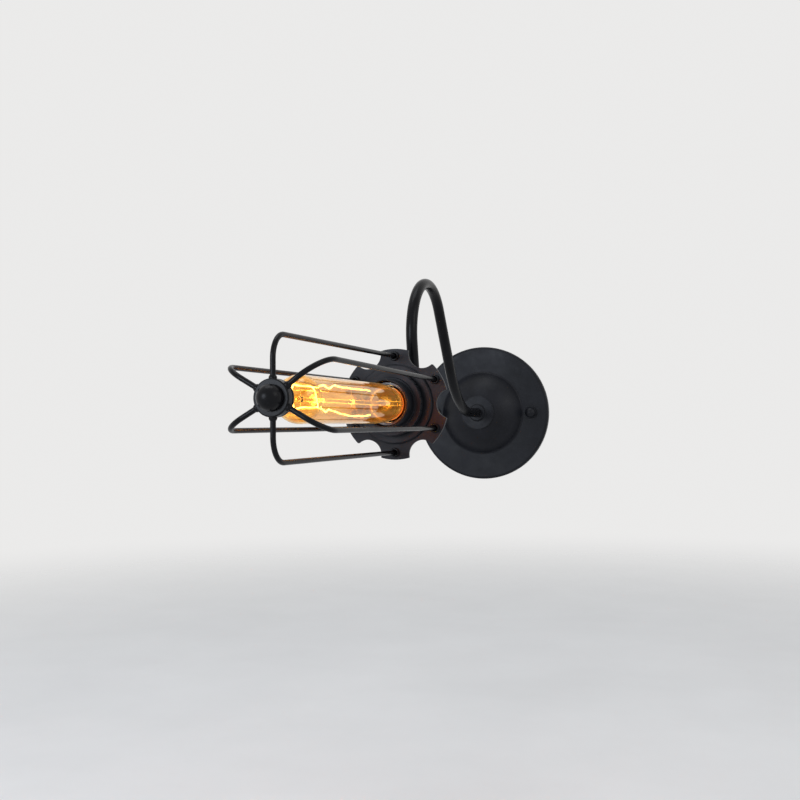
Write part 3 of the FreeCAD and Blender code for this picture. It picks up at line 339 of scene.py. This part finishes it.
def glazed_ceramic():
    """Black-brown glaze over clay: glossy, faintly mottled, thin and browner on the edges."""
    tree = Tree("glazed_ceramic")
    mottle = tree.spread(tree.noise(260, 5), 0.35, 0.68)
    colour = tree.blend(mottle, (0.012, 0.011, 0.010, 1), (0.034, 0.029, 0.025, 1))
    colour = tree.blend(tree.math("MULTIPLY", tree.edges(0.6 * MM), 0.4), colour, (0.09, 0.055, 0.032, 1))
    specks = tree.spread(tree.noise(1400, 2), 0.66, 0.74, 0, 0.4)
    colour = tree.blend(specks, colour, (0.10, 0.08, 0.06, 1))
    skin = tree.bump(tree.noise(210, 2), 0.25, 0.10 * MM, tree.rounded(0.5 * MM))
    tree.set(Base_Color=colour, Roughness=tree.spread(mottle, 0, 1, 0.24, 0.40), Normal=skin)
    return tree.material


def flex_sheath():
    """Black sheath with a ring-like extrusion grain and chalky scuffs."""
    tree = Tree("flex_sheath")
    scuffs = tree.spread(tree.noise(180, 4), 0.5, 0.75, 0, 0.6)
    colour = tree.blend(scuffs, (0.022, 0.022, 0.023, 1), (0.085, 0.083, 0.08, 1))
    rings = tree.noise(900, 2, vector=tree.stretched(0.3, 1, 1))
    tree.set(Base_Color=colour, Roughness=tree.spread(scuffs, 0, 1, 0.48, 0.66))
    tree.set(Normal=tree.bump(rings, 0.3, 0.05 * MM))
    return tree.material


def black_glass():
    """Fused dark insulator of the lamp's cap, glossy with small flow marks."""
    tree = Tree("black_glass")
    flow = tree.spread(tree.noise(300, 4, distortion=1.2), 0.35, 0.7)
    colour = tree.blend(flow, (0.010, 0.010, 0.013, 1), (0.035, 0.033, 0.042, 1))
    tree.set(Base_Color=colour, Roughness=tree.spread(flow, 0, 1, 0.08, 0.22))
    tree.set(Normal=tree.bump(flow, 0.2, 0.12 * MM, tree.rounded(0.4 * MM)))
    return tree.material


# ---- Glass and light ----------------------------------------------------------------------------
def let_light_through(tree, tint):
    """Lets the lamp's own light leave the glass: shadow rays pass with a tint."""
    clear = tree.add("ShaderNodeBsdfTransparent")
    clear.inputs["Color"].default_value = tint
    mixer = tree.add("ShaderNodeMixShader")
    path = tree.add("ShaderNodeLightPath")
    tree.links.new(path.outputs["Is Shadow Ray"], mixer.inputs["Fac"])
    tree.links.new(tree.shader.outputs["BSDF"], mixer.inputs[1])
    tree.links.new(clear.outputs["BSDF"], mixer.inputs[2])
    tree.links.new(mixer.outputs["Shader"], tree.output.inputs["Surface"])


def amber_glass():
    """Amber glass with drawn streaks along the lamp and a streaky painted glow, which stands in for the
    filament's light in the glass.
    """
    tree = Tree("amber_glass")
    streaks = tree.noise(230, 4, 0.6, tree.stretched(1, 0.07, 1), 0.6)
    dense = tree.spread(streaks, 0.40, 0.66)
    ripple = tree.noise(95, 3, 0.5, tree.stretched(1, 0.22, 1))
    colour = tree.blend(dense, (0.97, 0.70, 0.26, 1), (0.88, 0.50, 0.12, 1))
    # painted glow: emission on the glass itself, streaky, in place of the filament's light scattered in the
    # glass
    painted_glow = tree.blend(tree.spread(streaks, 0.36, 0.62), (1.0, 0.56, 0.13, 1), (0.45, 0.17, 0.02, 1))
    tree.set(Base_Color=colour, Roughness=0.03, IOR=1.47, Transmission_Weight=1.0)
    tree.set(Normal=tree.bump(ripple, 0.22, 0.35 * MM))
    tree.set(Emission_Color=painted_glow, Emission_Strength=AMBER_PAINTED_GLOW)
    let_light_through(tree, (1.0, 0.62, 0.28, 1))
    return tree.material


def stem_glass():
    """Clear pressed glass of the stem, with painted glow on the top and bottom edges of its rod and on its
    flared foot.
    """
    tree = Tree("stem_glass")
    tree.set(Roughness=0.06, IOR=1.5, Transmission_Weight=1.0)
    tree.set(Normal=tree.bump(tree.noise(700, 3), 0.3, 0.06 * MM))
    split = tree.add("ShaderNodeSeparateXYZ")
    tree.feed(split.inputs[0], tree.place)
    across = split.outputs["X"]
    height = tree.math("SUBTRACT", split.outputs["Z"], HEAD_Z)
    along = tree.math("SUBTRACT", HEAD_BACK_Y, split.outputs["Y"])
    on_foot = tree.math("LESS_THAN", along, FLARE_FRONT)
    smoke = tree.spread(tree.noise(320, 4), 0.4, 0.7)
    colour = tree.blend(smoke, (0.98, 0.93, 0.80, 1), (0.86, 0.72, 0.50, 1))
    tree.set(Base_Color=tree.blend(on_foot, colour, (0.34, 0.22, 0.11, 1)))
    # painted glow lines along the top and bottom edges of the rod, fading out towards the front; the rod
    # gives no light of its own
    off_middle = tree.math("ABSOLUTE", height)
    painted_rod_edge_band = tree.spread(off_middle, 0.70 * STEM_ROD_RADIUS, 0.95 * STEM_ROD_RADIUS)
    beyond = tree.spread(off_middle, 1.02 * STEM_ROD_RADIUS, 1.12 * STEM_ROD_RADIUS, 1.0, 0.0)
    on_rod = tree.math("MULTIPLY", beyond, tree.spread(along, *ROD_PAINTED_GLOW_END, 1.0, 0.0))
    flicker = tree.spread(tree.noise(110, 3), 0.35, 0.6, 0.3, 1.0)
    painted_rod_glow = tree.math("MULTIPLY", tree.math("MULTIPLY", painted_rod_edge_band, on_rod), flicker)
    across_squared = tree.math("POWER", across, 2.0)
    height_squared = tree.math("POWER", height, 2.0)
    radius = tree.math("SQRT", tree.math("ADD", across_squared, height_squared))
    # painted glow of the flared foot: swirled, with painted shade that darkens it towards the right, and a
    # painted highlight along its rim that is strongest on the left
    swirl = tree.spread(tree.noise(190, 4, 0.6, distortion=1.6), 0.38, 0.62, 0.15, 1.0)
    painted_disc_shade = tree.math("MULTIPLY", swirl, tree.spread(across, -12 * MM, 8 * MM, 1.0, 0.10))
    painted_rim_highlight = tree.spread(radius, FLARE_RADIUS - 1.3 * MM, FLARE_RADIUS - 0.3 * MM)
    painted_rim_highlight = tree.math("MULTIPLY", painted_rim_highlight, tree.spread(across, -11 * MM, 10 * MM, 3.0, 0.9))
    painted_disc_glow_mask = tree.math("MULTIPLY", tree.math("MAXIMUM", painted_disc_shade, painted_rim_highlight), on_foot)
    painted_disc_glow = tree.add("ShaderNodeVectorMath", operation="SCALE")
    painted_disc_glow.inputs[0].default_value = (0.30, 0.17, 0.06)
    tree.feed(painted_disc_glow.inputs["Scale"], painted_disc_glow_mask)
    # the painted glow lines of the rod over the painted glow of the foot
    painted_glow = tree.blend(painted_rod_glow, painted_disc_glow.outputs[0], (2.2, 1.4, 0.32, 1))
    tree.set(Emission_Color=painted_glow, Emission_Strength=1.0)
    let_light_through(tree, (0.95, 0.92, 0.85, 1))
    return tree.material


def filament_glow():
    """White-hot strand, hotter and cooler in stretches, yellow where the coils are wider apart."""
    tree = Tree("filament_glow")
    heat = tree.spread(tree.noise(260, 3), 0.35, 0.65)
    coils = tree.spread(tree.noise(2300, 1), 0.35, 0.65, 0.75, 1.0)
    colour = tree.blend(heat, (1.0, 0.62, 0.20, 1), (1.0, 0.86, 0.46, 1))
    tree.set(Base_Color=(0.9, 0.7, 0.4, 1), Roughness=0.5, Emission_Strength=STRAND_EMISSION)
    tree.set(Emission_Color=tree.blend(coils, (0.8, 0.35, 0.08, 1), colour))
    tree.material.cycles.emission_sampling = "NONE"
    return tree.material


# ---- Filament -----------------------------------------------------------------------------------
def in_head(t, height, side=0.0):
    """Point of the head from its distance along the axis, height over it and side, in mm."""
    return Vector((side * MM, HEAD_BACK_Y - t * MM, HEAD_Z + height * MM))


def add_filament():
    """Uneven strands on smooth curves, wavy to the side too, in place of the frame's straight runs."""
    curve = bpy.data.curves.new("filament_strands", "CURVE")
    curve.dimensions = "3D"
    curve.bevel_depth = STRAND_RADIUS
    curve.bevel_resolution = 3
    curve.resolution_u = 10
    for points in (UPPER_STRAND, LOWER_STRAND, CROSSING_STRAND, END_TURN):
        spline = curve.splines.new("NURBS")
        spline.points.add(len(points) - 1)
        for number, (point, (t, height)) in enumerate(zip(spline.points, points)):
            inner = 0 < number < len(points) - 1
            wave = math.sin(STRAND_WAVE_RATE * t + height)
            side = STRAND_SIDE_WAVE * wave if inner else 0.0
            bow = CROSSING_BOW if points is CROSSING_STRAND and 1 < number < 5 else 0.0
            point.co = (*in_head(t, height, side + bow), 1)
        spline.order_u = 3
        spline.use_endpoint_u = True
    strands = bpy.data.objects.new("filament_strands", curve)
    bpy.context.collection.objects.link(strands)
    curve.materials.append(filament_glow())
    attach(strands, "head")
    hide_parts("lamp_filament")


# ---- Stage --------------------------------------------------------------------------------------
def pale_floor():
    """Pale floor that takes the object's shadow, faintly mottled."""
    tree = Tree("pale_floor")
    mottle = tree.spread(tree.noise(9, 4), 0.3, 0.7)
    colour = tree.blend(mottle, (0.80, 0.795, 0.785, 1), (0.83, 0.825, 0.815, 1))
    tree.set(Base_Color=colour, Roughness=0.9, Specular_IOR_Level=0.1)
    away = tree.add("ShaderNodeVectorMath", operation="LENGTH")
    tree.feed(away.inputs[0], tree.place)
    clear = tree.add("ShaderNodeBsdfTransparent")
    mixer = tree.add("ShaderNodeMixShader")
    melt = tree.add("ShaderNodeMapRange", interpolation_type="SMOOTHSTEP")
    tree.feed(melt.inputs["Value"], away.outputs["Value"])
    melt.inputs["From Min"].default_value, melt.inputs["From Max"].default_value = FLOOR_CLEAR
    tree.links.new(melt.outputs["Result"], mixer.inputs["Fac"])
    tree.links.new(tree.shader.outputs["BSDF"], mixer.inputs[1])
    tree.links.new(clear.outputs["BSDF"], mixer.inputs[2])
    tree.links.new(mixer.outputs["Shader"], tree.output.inputs["Surface"])
    return tree.material


def add_floor():
    mesh = bpy.data.meshes.new("floor")
    turns = [2 * math.pi * k / FLOOR_SIDES for k in range(FLOOR_SIDES)]
    ring = [(FLOOR_RADIUS * math.cos(a), FLOOR_RADIUS * math.sin(a), FLOOR_Z) for a in turns]
    mesh.from_pydata(ring, [], [tuple(range(FLOOR_SIDES))])
    mesh.materials.append(pale_floor())
    floor = bpy.data.objects.new("floor", mesh)
    bpy.context.collection.objects.link(floor)


def add_world():
    """Soft even room light. The camera, the metals and the glass see the pale background instead."""
    world = bpy.data.worlds.new("world")
    bpy.context.scene.world = world
    world.use_nodes = True
    nodes, links = world.node_tree.nodes, world.node_tree.links
    shown = nodes["Background"]
    shown.inputs["Color"].default_value = BACKGROUND
    shown.inputs["Strength"].default_value = 1.0
    light = nodes.new("ShaderNodeBackground")
    light.inputs["Color"].default_value = (0.95, 0.97, 1.0, 1)
    light.inputs["Strength"].default_value = WORLD_LIGHT
    path = nodes.new("ShaderNodeLightPath")
    seen = path.outputs["Is Camera Ray"]
    for kind in ("Is Glossy Ray", "Is Transmission Ray"):
        either = nodes.new("ShaderNodeMath")
        either.operation = "MAXIMUM"
        links.new(seen, either.inputs[0])
        links.new(path.outputs[kind], either.inputs[1])
        seen = either.outputs[0]
    mixer = nodes.new("ShaderNodeMixShader")
    links.new(seen, mixer.inputs["Fac"])
    links.new(light.outputs["Background"], mixer.inputs[1])
    links.new(shown.outputs["Background"], mixer.inputs[2])
    links.new(mixer.outputs["Shader"], nodes["World Output"].inputs["Surface"])


# ---- Everything together ------------------------------------------------------------------------
def dress_frame():
    """Gives each node of the frame the material of its slot."""
    made = {
        "black_powder_coat": powder_coat(),
        "black_gloss_coat": gloss_coat(),
        "zinc_plated_steel": metal(
            "zinc_plate", (0.66, 0.67, 0.69, 1), (0.47, 0.48, 0.50, 1), 0.28, (1, 1, 0.1), 700, 0.3
        ),
        "brass": metal("brass", (0.80, 0.61, 0.29, 1), (0.55, 0.38, 0.15, 1), 0.24, (1, 1, 0.12), 800, 0.25),
        "white_plastic": white_plastic(),
        "glazed_ceramic": glazed_ceramic(),
        "flex_sheath": flex_sheath(),
        "black_glass": black_glass(),
        "solder": metal("solder", (0.72, 0.72, 0.71, 1), (0.50, 0.50, 0.50, 1), 0.30, (1, 1, 1), 500, 0.4),
        "amber_glass": amber_glass(),
        "stem_glass": stem_glass(),
        "filament": filament_glow(),
        "hook_wire": metal(
            "hook_wire", (0.60, 0.58, 0.55, 1), (0.36, 0.33, 0.30, 1), 0.32, (1, 0.1, 1), 900, 0.2
        ),
    }
    for part in frame["record"]["subparts"]:
        shown = frame["nodes"][part["node"]]
        for place in shown.material_slots:
            place.material = made[part["material_slot"]]


add_camera()
add_world()
add_floor()
add_soft_box("front_light", (-0.50, -1.55, 0.22), (0.0, -0.15, 0.0), 0.55, 0.55, 7.5, (0.80, 0.88, 1.0))
add_soft_box("side_light", (1.25, -0.75, 0.65), (0.0, -0.25, 0.0), 0.7, 0.7, 3.0, (1.0, 0.99, 0.97))
add_soft_box("top_light", (-0.15, -0.35, 1.3), (0.0, -0.25, 0.0), 0.6, 0.9, 3.6, (0.92, 0.95, 1.0))
add_lamp_glow()
dress_frame()
add_filament()
bpy.context.scene.view_settings.view_transform = "Standard"
